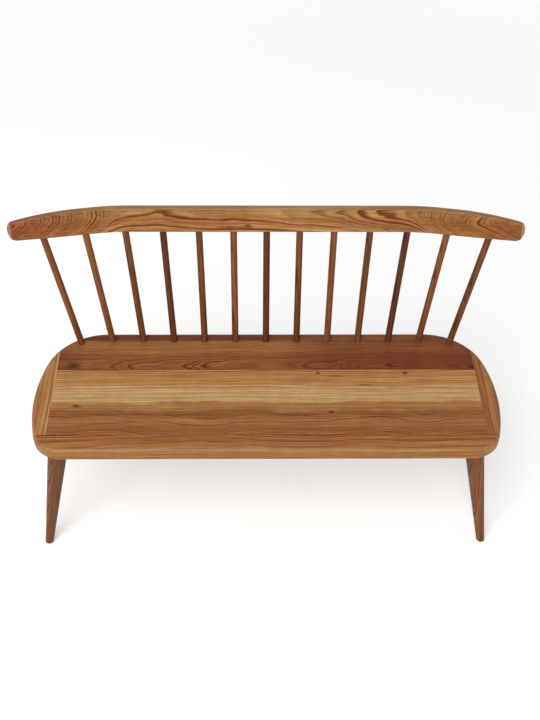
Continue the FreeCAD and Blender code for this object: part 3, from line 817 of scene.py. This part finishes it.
@dataclass(frozen=True)
class WoodFinish:
    """One piece of wood: its tones across and along, its rings, and how strongly they show.

    Args:
        bands: The tones across the piece, each with its place from 0 at the low edge to 1.
        rings: The rings that the piece was cut through.
        hearts: How deep the heartwood's colour is along the piece, each with its place.
        knots: The knots in it.
        heart_tint: The tint of the heartwood over the bands.
        line_depth: How dark the late wood's lines are.
        tone_depth: How much the rings differ in tone.
        fibre_depth: How much the fibres differ in tone.
        polish: The roughness of the oiled surface.
        wear: Whether its arrises are rubbed.
        pale_ends: Whether its end faces are painted paler, as light falling on them.
        glued: Whether its low and its high edge are glued to another board.
        border_wave: How far the borders between bands stray, in metres.
        seed: A number that makes the piece unlike the others.
    """

    bands: tuple[tuple[float, Tone], ...]
    rings: Rings
    hearts: tuple[tuple[float, float], ...] = ((0.0, 0.0), (1.0, 0.0))
    knots: tuple[Knot, ...] = ()
    heart_tint: Colour = linear(196, 152, 128)
    line_depth: float = 0.75
    tone_depth: float = 0.24
    fibre_depth: float = 0.18
    polish: float = 0.5
    wear: bool = True
    pale_ends: bool = False
    glued: tuple[bool, bool] = (False, False)
    border_wave: float = 0.006
    seed: float = 1.0

    bump_strength = 0.35
    bump_height = 0.25 * MILLIMETRE
    sheen = 0.2
    # How many strays of the bands' borders there are to a metre, along and across the grain.
    border_rates = (9.0, 12.0)
    border_detail = 3.0
    border_reach = 4

    def dress(self, node: Piece, lie: GrainLie) -> None:
        """Gives a piece this wood.

        Args:
            node: The piece's object in the frame.
            lie: How its grain lies.
        """
        material, wiring = fresh_material(f"{node.name} wood")
        coordinates = wiring.node("ShaderNodeTexCoord")
        grain = wiring.node("ShaderNodeMapping", vector_type="TEXTURE")
        wiring.feed(grain.inputs["Vector"], coordinates.outputs["Object"])
        grain.inputs["Location"].default_value = lie.origin
        grain.inputs["Rotation"].default_value = lie.turn()
        place = grain.outputs[0]
        marks = self.wire_marks(wiring, place)
        if self.wear:
            marks.update(self.wire_wear_and_end_light(wiring, coordinates, place, lie))
        if any(self.glued):
            low, high = lie.breadth
            marks["joint"] = GlueJoint().place(
                wiring, across=wiring.split(place)[1],
                low=low if self.glued[0] else low - OUT_OF_REACH,
                high=high if self.glued[1] else high + OUT_OF_REACH)["Joint"]
        oiled = OiledWood().place(
            wiring, ground=self.wire_ground(wiring, place, lie), line_depth=self.line_depth,
            tone_depth=self.tone_depth, fibre_depth=self.fibre_depth, polish=self.polish, **marks)
        bump = wiring.node("ShaderNodeBump")
        bump.inputs["Strength"].default_value = self.bump_strength
        bump.inputs["Distance"].default_value = self.bump_height
        wiring.feed(bump.inputs["Height"], oiled["Height"])
        surface = wiring.node("ShaderNodeBsdfPrincipled")
        wiring.feed(surface.inputs["Base Color"], oiled["Colour"])
        wiring.feed(surface.inputs["Roughness"], oiled["Roughness"])
        wiring.feed(surface.inputs["Normal"], bump.outputs[0])
        surface.inputs["Specular IOR Level"].default_value = self.sheen
        output = wiring.node("ShaderNodeOutputMaterial")
        wiring.feed(output.inputs["Surface"], surface.outputs[0])
        node.data.materials.clear()
        node.data.materials.append(material)

    def wire_marks(self, wiring: Wiring, place: Socket) -> dict[str, object]:
        """Adds the knots, rings and fibre.

        Args:
            wiring: The wiring of the material.
            place: The coordinates along, across and into the grain.

        Returns:
            The inputs of the oiled wood that these marks feed, by name.
        """
        mark: object = 0.0
        push: object = 0.0
        for knot in self.knots:
            eye = WoodKnot().place(
                wiring, grain=place, along=knot.along, across=knot.across, length=knot.length,
                breadth=knot.breadth, push_aside=knot.push, darkness=knot.darkness)
            mark = wiring.math("MAXIMUM", mark, eye["Mark"])
            push = wiring.math("ADD", push, eye["Push"])
        cut = self.rings
        rings = GrowthRings().place(
            wiring, grain=place, ring_width=cut.width, pith_side=cut.side, pith_depth=cut.depth,
            drift=cut.drift, rise=cut.rise, bow=cut.bow, wander=cut.wander,
            wander_length=cut.wander_length, ripple=cut.ripple, push=push, seed=self.seed)
        fibre = WoodFibre().place(wiring, grain=place, seed=self.seed)
        return {
            "line": rings["Line"], "ring_tone": rings["Ring Tone"], "knot": mark,
            **{name.lower(): socket for name, socket in fibre.items()},
        }

    def wire_wear_and_end_light(self, wiring: Wiring, coordinates: bpy.types.Node, place: Socket,
                  lie: GrainLie) -> dict[str, object]:
        """Adds the rubbed arrises, and the paler painted light on the end faces.

        Args:
            wiring: The wiring of the material.
            coordinates: The Texture Coordinate node.
            place: The coordinates along, across and into the grain.
            lie: How the grain lies.

        Returns:
            The inputs of the oiled wood that these marks feed, by name.
        """
        facing = wiring.node("ShaderNodeMapping", vector_type="TEXTURE")
        wiring.feed(facing.inputs["Vector"], coordinates.outputs["Normal"])
        facing.inputs["Rotation"].default_value = lie.turn()
        worn = ArrisWearAndEndLight().place(wiring, facing=facing.outputs[0], grain=place)
        return {"wear": worn["Wear"], **({"end": worn["End"]} if self.pale_ends else {})}

    def wire_ground(self, wiring: Wiring, place: Socket, lie: GrainLie) -> Socket:
        """Adds the ground colour: the bands across the piece, deepened by the heartwood along it.

        Args:
            wiring: The wiring of the material.
            place: The coordinates along, across and into the grain.
            lie: How the grain lies.

        Returns:
            The socket of the ground colour.
        """
        along, across, _ = wiring.split(place)
        stray = wiring.noise(place, *self.border_rates, self.border_detail, self.seed)
        strayed = wiring.swing(stray.outputs[0], self.border_reach * self.border_wave, across)
        band = wiring.ramp_between(strayed, *lie.breadth, smooth=False)
        ground = wiring.ramp(band, [(spot, tone.colour) for spot, tone in self.bands])
        if all(heart == 0 for _, heart in self.hearts):
            return ground
        run = wiring.ramp_between(along, *lie.length, smooth=False)
        deep = wiring.ramp(run, [(spot, (heart, heart, heart, 1.0)) for spot, heart in self.hearts])
        return wiring.tint(deep, ground, self.heart_tint)


@dataclass
class CrestRail:
    """The sawn rail on top of the back, level in the middle and swept forward at both ends."""

    node: str = "crest_rail"
    underside: float = 0.743
    face_foot: float = 0.2005
    lean: float = math.radians(12.5)
    height: float = 0.062
    half_length: float = 0.616
    finish: WoodFinish = field(default_factory=lambda: WoodFinish(
        # Paler towards the lower edge; the greyish last band is painted sheen on the top edge and top
        # face.
        bands=((0.0, Tone.WHEAT), (0.16, Tone.HONEY), (0.40, Tone.AMBER), (0.62, Tone.AMBER),
               (0.84, Tone.HONEY), (1.0, Tone.PAINTED_TOP_GREY)),
        rings=Rings(width=0.0023, side=0.059, depth=0.130, wander=0.0022, wander_length=0.22,
                    rise=-0.019, bow=-0.0375),
        hearts=((0.0, 0.9), (0.10, 0.7), (0.2, 0.35), (0.42, 0.45), (0.6, 0.1), (0.75, 0.45),
                (1.0, 0.7)),
        knots=(Knot(-0.0455, 0.0215, 0.010, 0.003, push=0.002),
               Knot(0.2897, 0.010, 0.010, 0.003, push=0.002),
               Knot(-0.0915, 0.017, 0.030, 0.002, push=0.001, darkness=0.5),
               Knot(0.470, 0.034, 0.036, 0.016, push=-0.009, darkness=0.0)),
        # The rail's end faces are painted paler, as light falling on them.
        line_depth=1.25, tone_depth=0.34, pale_ends=True, seed=3.0))

    def dress(self, nodes: dict[str, Piece]) -> None:
        """Gives the rail its wood.

        Args:
            nodes: The frame's objects by name.
        """
        up_the_face = Vector((0.0, math.sin(self.lean), math.cos(self.lean)))
        foot = Vector((0.0, self.face_foot, self.underside))
        self.finish.dress(nodes[self.node], GrainLie(
            foot, RIGHTWARDS, up_the_face, (0.0, self.height), (-self.half_length, self.half_length)))
        LOG.info("%s: grain along the bench, pith in front of the face", self.node)


class SpindleWood(Enum):
    """The woods that the spindles were turned from: the darker tone of their sides, which is painted
    shade of the round, and the tone of their middle.
    """

    DARK = (Tone.PLUM, Tone.MAROON)
    MIDDLE = (Tone.MAROON, Tone.UMBER)
    LIGHT = (Tone.UMBER, Tone.CHESTNUT)


@dataclass(frozen=True)
class Spindle:
    """One spindle: its wood, and how deep the heartwood's colour is at its foot and its top."""

    wood: SpindleWood
    foot_heart: float = 0.0
    top_heart: float = 0.0


@dataclass
class SpindleRow:
    """The thirteen turned spindles between the seat and the rail, fanned out to both sides."""

    spindles: tuple[Spindle, ...] = (
        Spindle(SpindleWood.LIGHT, foot_heart=0.4),
        Spindle(SpindleWood.LIGHT, foot_heart=0.3),
        Spindle(SpindleWood.MIDDLE, foot_heart=0.1),
        Spindle(SpindleWood.DARK, top_heart=0.5),
        Spindle(SpindleWood.MIDDLE, foot_heart=0.1, top_heart=0.2),
        Spindle(SpindleWood.LIGHT, foot_heart=0.6),
        Spindle(SpindleWood.DARK, foot_heart=0.1, top_heart=0.2),
        Spindle(SpindleWood.MIDDLE, foot_heart=0.5),
        Spindle(SpindleWood.LIGHT, foot_heart=0.3),
        Spindle(SpindleWood.MIDDLE, top_heart=0.4),
        Spindle(SpindleWood.DARK, top_heart=0.3),
        Spindle(SpindleWood.LIGHT, foot_heart=0.2),
        Spindle(SpindleWood.MIDDLE, top_heart=0.4),
    )
    radius: float = 0.0084
    first_seed: float = 20.0
    seed_step: float = 3.0

    def dress(self, nodes: dict[str, Piece]) -> None:
        """Gives each spindle its wood, with the grain along its own axis.

        Args:
            nodes: The frame's objects by name.
        """
        for number, spindle in enumerate(self.spindles, start=1):
            node = nodes[f"spindle_{number:02d}"]
            # side is the painted shade at the spindle's left and right, middle its own tone.
            side, middle = spindle.wood.value
            finish = WoodFinish(
                bands=((0.0, side), (0.4, middle), (0.7, middle), (1.0, side)),
                rings=Rings(width=0.0026, side=0.02, depth=0.03, wander=0.003, wander_length=0.2,
                            ripple=0.0006),
                hearts=((0.0, spindle.foot_heart), (0.45, 0.15), (1.0, spindle.top_heart)),
                line_depth=0.8, wear=False, border_wave=0.003,
                seed=self.first_seed + self.seed_step * number)
            finish.dress(node, lie_turned(node, self.radius))
            LOG.info("%s: %s wood", node.name, spindle.wood.name.lower())


@dataclass
class Seat:
    """The seat: five long boards edge to edge between two end caps."""

    boards: dict[str, WoodFinish] = field(default_factory=lambda: {
        "seat_back_strip": WoodFinish(
            bands=((0.0, Tone.UMBER), (0.5, Tone.UMBER), (1.0, Tone.CHESTNUT)),
            rings=Rings(width=0.003, side=-0.09, depth=-0.10, wander_length=0.3),
            hearts=((0.0, 1.0), (0.2, 0.75), (0.48, 0.8), (0.58, 0.25), (0.8, 0.0), (1.0, 0.6)),
            glued=(True, False), seed=5.0),
        "seat_rear_board": WoodFinish(
            bands=((0.0, Tone.CHESTNUT), (0.12, Tone.RUSSET), (0.5, Tone.RUSSET), (0.62, Tone.TAN),
                   (0.9, Tone.TAN), (1.0, Tone.RUSSET)),
            rings=Rings(width=0.0024, side=0.014, depth=-0.052, wander=0.0040, ripple=0.0020,
                        rise=0.044),
            hearts=((0.0, 0.75), (0.06, 0.25), (0.5, 0.2), (0.66, 0.8), (0.95, 0.85), (1.0, 1.0)),
            knots=(Knot(-0.054, 0.065, 0.040, 0.003, push=0.001, darkness=0.6),
                   Knot(-0.485, 0.014, 0.024, 0.012, push=0.004, darkness=0.7)),
            line_depth=1.35, glued=(True, True), seed=7.0),
        "seat_middle_board": WoodFinish(
            bands=((0.0, Tone.RUSSET), (0.05, Tone.CHESTNUT), (0.12, Tone.TAN), (0.24, Tone.TAN),
                   (0.29, Tone.STRAW), (0.55, Tone.STRAW), (0.66, Tone.HONEY), (1.0, Tone.AMBER)),
            rings=Rings(width=0.0036, side=0.19, depth=-0.07, wander=0.005, wander_length=0.34,
                        ripple=0.0008),
            knots=(Knot(0.1285, 0.142, 0.007, 0.005, darkness=1.0),
                   Knot(0.3482, 0.1416, 0.010, 0.006, darkness=1.0),
                   Knot(0.1560, 0.008, 0.008, 0.006, darkness=1.0),
                   Knot(0.173, 0.131, 0.026, 0.003, push=0.001),
                   Knot(0.2442, 0.0996, 0.026, 0.0025, push=0.001),
                   Knot(-0.463, 0.030, 0.012, 0.006, darkness=1.0)),
            line_depth=0.95, glued=(True, True), border_wave=0.010, seed=11.0),
        "seat_fore_board": WoodFinish(
            bands=((0.0, Tone.ORANGE), (0.25, Tone.RUSSET), (0.7, Tone.TAN), (1.0, Tone.RUSSET)),
            rings=Rings(width=0.0036, side=0.130, depth=-0.090, wander=0.0160, wander_length=0.26,
                        ripple=0.0010),
            line_depth=1.9, glued=(True, True), seed=33.0),
        "seat_front_board": WoodFinish(
            bands=((0.0, Tone.TAN), (0.4, Tone.TAN), (0.62, Tone.RUSSET), (0.78, Tone.ORANGE),
                   (1.0, Tone.RUSSET)),
            rings=Rings(width=0.0032, side=-0.03, depth=-0.09, wander=0.007, wander_length=0.3),
            line_depth=1.1, glued=(False, True), seed=17.0),
    })
    caps: dict[str, WoodFinish] = field(default_factory=lambda: {
        "end_cap_left": WoodFinish(
            bands=((0.0, Tone.WHEAT), (0.09, Tone.HONEY), (0.14, Tone.CHESTNUT), (0.2, Tone.HONEY),
                   (0.45, Tone.AMBER), (0.75, Tone.TAN), (1.0, Tone.RUSSET)),
            rings=Rings(width=0.0034, side=0.14, depth=-0.08, wander=0.003, wander_length=0.3,
                        ripple=0.0006),
            line_depth=1.2, border_wave=0.002, seed=19.0),
        "end_cap_right": WoodFinish(
            bands=((0.0, Tone.UMBER), (0.16, Tone.CHESTNUT), (0.32, Tone.TAN), (0.55, Tone.TAN),
                   (0.64, Tone.RUSSET), (0.85, Tone.ORANGE), (1.0, Tone.CHESTNUT)),
            rings=Rings(width=0.0034, side=-0.12, depth=-0.07, wander=0.003, wander_length=0.3,
                        ripple=0.0006),
            line_depth=1.2, border_wave=0.003, seed=23.0),
    })

    def dress(self, nodes: dict[str, Piece]) -> None:
        """Gives the boards a grain along the bench, and the caps one from front to back.

        Args:
            nodes: The frame's objects by name.
        """
        for name, finish in self.boards.items():
            low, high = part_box(name)
            finish.dress(nodes[name], lie_flat(low, high, SEAT_TOP))
            LOG.info("%s: %.0f mm wide", name, (high.y - low.y) / MILLIMETRE)
        for name, finish in self.caps.items():
            low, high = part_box(name)
            finish.dress(nodes[name], lie_flat(low, high, SEAT_TOP, crosswise=True))
            LOG.info("%s: grain from front to back", name)


@dataclass
class Legs:
    """The four splayed legs, each tapered to its foot."""

    # For each leg: the darker tone at its left and right sides, which is painted shade of the round, and
    # its own tone in the middle.
    tones: dict[str, tuple[Tone, Tone]] = field(default_factory=lambda: {
        "leg_front_left": (Tone.MAROON, Tone.UMBER),
        "leg_front_right": (Tone.UMBER, Tone.CHESTNUT),
        "leg_rear_left": (Tone.UMBER, Tone.CHESTNUT),
        "leg_rear_right": (Tone.MAROON, Tone.UMBER),
    })
    radius: float = 0.027
    first_seed: float = 70.0
    seed_step: float = 5.0

    def dress(self, nodes: dict[str, Piece]) -> None:
        """Gives each leg its wood, with the grain along its own axis.

        Args:
            nodes: The frame's objects by name.
        """
        for number, (name, (edge, middle)) in enumerate(self.tones.items()):
            finish = WoodFinish(
                # The bands darken towards both sides: painted shade of the round leg.
                bands=((0.0, edge), (0.35, middle), (0.65, middle), (1.0, edge)),
                rings=Rings(width=0.0024, side=0.07, depth=0.05, wander=0.003, wander_length=0.3,
                            ripple=0.0008, drift=0.06),
                hearts=((0.0, 0.5), (0.2, 0.1), (1.0, 0.0)), line_depth=1.1, wear=False,
                seed=self.first_seed + self.seed_step * number)
            finish.dress(nodes[name], lie_turned(nodes[name], self.radius))
            LOG.info("%s: grain down the leg", name)


@dataclass
class Tongues:
    """The loose tongues that hold the end caps to the boards, bare inside their grooves."""

    finish: WoodFinish = field(default_factory=lambda: WoodFinish(
        bands=((0.0, Tone.BARE), (1.0, Tone.STRAW)), rings=Rings(width=0.003, side=0.0, depth=-0.04),
        line_depth=0.4, polish=0.7, wear=False, seed=29.0))

    def dress(self, nodes: dict[str, Piece]) -> None:
        """Gives both tongues bare wood with its grain from front to back.

        Args:
            nodes: The frame's objects by name.
        """
        for side, name in enumerate(("cap_tongue_left", "cap_tongue_right")):
            low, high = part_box(name)
            finish = replace(self.finish, seed=self.finish.seed + side)
            finish.dress(nodes[name], lie_flat(low, high, high.z, crosswise=True))
            LOG.info("%s: bare wood", name)


def seen_directly(wiring: Wiring) -> Socket:
    """Tells the rays of the camera, of gloss and of glass from those of soft light.

    Args:
        wiring: The wiring of the material or the world.

    Returns:
        A socket that is 0 for a ray of soft light and 1 for the others.
    """
    rays = wiring.node("ShaderNodeLightPath")
    seen = rays.outputs["Is Camera Ray"]
    for kind in ("Is Glossy Ray", "Is Transmission Ray"):
        seen = wiring.math("MAXIMUM", seen, rays.outputs[kind])
    return seen


@dataclass
class Studio:
    """The plain studio: a white floor, soft light from the front left, and the camera."""

    floor_size: float = 16.0
    floor_flat: float = 4.5
    floor_rise: float = 0.02
    floor_vertices: int = 65
    floor_paint: Colour = (0.86, 0.86, 0.86, 1.0)
    floor_glow: float = 0.24
    edge_glow: float = 0.62
    glow_span: tuple[float, float] = (2.0, 6.8)
    sky_light: float = 0.576
    key_power: float = 270.0
    key_size: float = 4.0
    key_place: Vector = field(default_factory=lambda: Vector((-1.6, -3.6, 5.0)))
    key_aim: Vector = field(default_factory=lambda: Vector((0.0, 0.0, 0.5)))
    eye: Vector = field(default_factory=lambda: Vector((-0.0385149, -1.8794140, 2.3313460)))
    yaw: float = math.radians(-1.41298)
    pitch: float = math.radians(90 - 44.1290)
    roll: float = math.radians(0.91120)
    lens: float = 53.495
    sensor: float = 36.0

    def build(self) -> None:
        """Builds the floor, the lights, the background and the camera."""
        self.make_floor()
        self.make_key_light()
        self.make_sky()
        self.make_camera()

    def make_floor(self) -> None:
        """Makes the floor, a sheet that stays flat round the bench and lifts towards its edges."""
        base = bpy.data.meshes.new("floor sheet")
        holder = bpy.data.objects.new("floor maker", base)
        bpy.context.scene.collection.objects.link(holder)
        tree = self.floor_tree(self.floor_material())
        maker = holder.modifiers.new("floor", "NODES")
        maker.node_group = tree
        wanted = {"Size": self.floor_size, "Flat Radius": self.floor_flat, "Rise": self.floor_rise}
        for item in tree.interface.items_tree:
            if item.item_type == "SOCKET" and item.name in wanted:
                maker[item.identifier] = wanted[item.name]
        shaped = holder.evaluated_get(bpy.context.evaluated_depsgraph_get())
        mesh = bpy.data.meshes.new_from_object(shaped)
        bpy.data.objects.remove(holder)
        floor = bpy.data.objects.new("studio_floor", mesh)
        bpy.context.scene.collection.objects.link(floor)
        LOG.info("studio_floor: %d faces", len(mesh.polygons))

    def floor_tree(self, material: bpy.types.Material) -> bpy.types.NodeTree:
        """Builds the geometry nodes of the floor.

        Args:
            material: The floor's material.

        Returns:
            The node tree, with inputs for the floor's size, its flat middle and its rise.
        """
        tree = bpy.data.node_groups.new("studio floor", "GeometryNodeTree")
        tree.interface.new_socket(name="Geometry", in_out="OUTPUT", socket_type="NodeSocketGeometry")
        for name in ("Size", "Flat Radius", "Rise"):
            tree.interface.new_socket(name=name, in_out="INPUT", socket_type="NodeSocketFloat")
        wiring = Wiring(tree)
        entry = wiring.node("NodeGroupInput")
        sheet = wiring.node("GeometryNodeMeshGrid")
        wiring.feed(sheet.inputs["Size X"], entry.outputs["Size"])
        wiring.feed(sheet.inputs["Size Y"], entry.outputs["Size"])
        for name in ("Vertices X", "Vertices Y"):
            sheet.inputs[name].default_value = self.floor_vertices
        position = wiring.node("GeometryNodeInputPosition")
        distance = wiring.node("ShaderNodeVectorMath", operation="LENGTH")
        wiring.feed(distance.inputs[0], position.outputs[0])
        beyond = wiring.math("MAXIMUM", wiring.math(
            "SUBTRACT", distance.outputs["Value"], entry.outputs["Flat Radius"]), 0.0)
        lift = wiring.math("MULTIPLY", wiring.math("MULTIPLY", beyond, beyond), entry.outputs["Rise"])
        moved = wiring.node("GeometryNodeSetPosition")
        wiring.feed(moved.inputs["Geometry"], sheet.outputs["Mesh"])
        wiring.feed(moved.inputs["Offset"], wiring.join(0.0, 0.0, lift))
        realized = wiring.node("GeometryNodeRealizeInstances")
        wiring.feed(realized.inputs[0], moved.outputs[0])
        dressed = wiring.node("GeometryNodeSetMaterial")
        wiring.feed(dressed.inputs["Geometry"], realized.outputs[0])
        dressed.inputs["Material"].default_value = material
        leave = wiring.node("NodeGroupOutput")
        wiring.feed(leave.inputs[0], dressed.outputs[0])
        return tree

    def floor_material(self) -> bpy.types.Material:
        """Makes the floor's matt white, with a glow that grows outwards and lights nothing.

        Returns:
            The material.
        """
        material, wiring = fresh_material("studio floor paint")
        paint = wiring.node("ShaderNodeBsdfDiffuse")
        paint.inputs["Color"].default_value = self.floor_paint
        coordinates = wiring.node("ShaderNodeTexCoord")
        distance = wiring.node("ShaderNodeVectorMath", operation="LENGTH")
        wiring.feed(distance.inputs[0], coordinates.outputs["Object"])
        brightness = wiring.ramp_between(
            distance.outputs["Value"], *self.glow_span, self.floor_glow, self.edge_glow)
        glow = wiring.node("ShaderNodeEmission")
        wiring.feed(glow.inputs["Strength"], wiring.math("MULTIPLY", seen_directly(wiring), brightness))
        both = wiring.node("ShaderNodeAddShader")
        wiring.feed(both.inputs[0], paint.outputs[0])
        wiring.feed(both.inputs[1], glow.outputs[0])
        output = wiring.node("ShaderNodeOutputMaterial")
        wiring.feed(output.inputs["Surface"], both.outputs[0])
        return material

    def make_sky(self) -> None:
        """Makes the even light all round, which is white where it is seen directly."""
        world = bpy.data.worlds.new("studio light")
        bpy.context.scene.world = world
        world.use_nodes = True
        world.node_tree.nodes.clear()
        wiring = Wiring(world.node_tree)
        sky = wiring.node("ShaderNodeBackground")
        sky.inputs["Color"].default_value = WHITE
        strength = wiring.ramp_between(
            seen_directly(wiring), 0.0, 1.0, self.sky_light, 1.0, smooth=False)
        wiring.feed(sky.inputs["Strength"], strength)
        output = wiring.node("ShaderNodeOutputWorld")
        wiring.feed(output.inputs["Surface"], sky.outputs[0])

    def make_key_light(self) -> None:
        """Makes the large soft lamp in front and to the left."""
        lamp = bpy.data.lights.new("key light", "AREA")
        lamp.shape = "DISK"
        lamp.size = self.key_size
        lamp.energy = self.key_power
        holder = bpy.data.objects.new("key light", lamp)
        holder.location = self.key_place
        holder.rotation_euler = (self.key_place - self.key_aim).to_track_quat("Z", "Y").to_euler()
        bpy.context.scene.collection.objects.link(holder)

    def make_camera(self) -> None:
        """Makes the camera, which looks down on the bench as the photograph does."""
        camera = bpy.data.cameras.new("camera")
        camera.sensor_fit = "VERTICAL"
        camera.sensor_height = self.sensor
        camera.lens = self.lens
        holder = bpy.data.objects.new("camera", camera)
        turn = (Matrix.Rotation(self.yaw, 4, "Z") @ Matrix.Rotation(self.pitch, 4, "X")
                @ Matrix.Rotation(self.roll, 4, "Z"))
        holder.matrix_world = Matrix.Translation(self.eye) @ turn
        bpy.context.scene.collection.objects.link(holder)
        bpy.context.scene.camera = holder
        bpy.context.scene.view_settings.view_transform = "Standard"


def main(frame: dict) -> None:
    """Dresses the bench piece by piece and sets up the studio.
    """
    logging.basicConfig(level=logging.INFO, format="%(name)s %(message)s")
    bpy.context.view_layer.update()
    nodes = frame["nodes"]
    for part in (CrestRail(), SpindleRow(), Seat(), Legs(), Tongues()):
        part.dress(nodes)
    Studio().build()
    LOG.info("bench dressed: %d pieces", len(nodes))


if __name__ == "__main__":
    main(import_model())
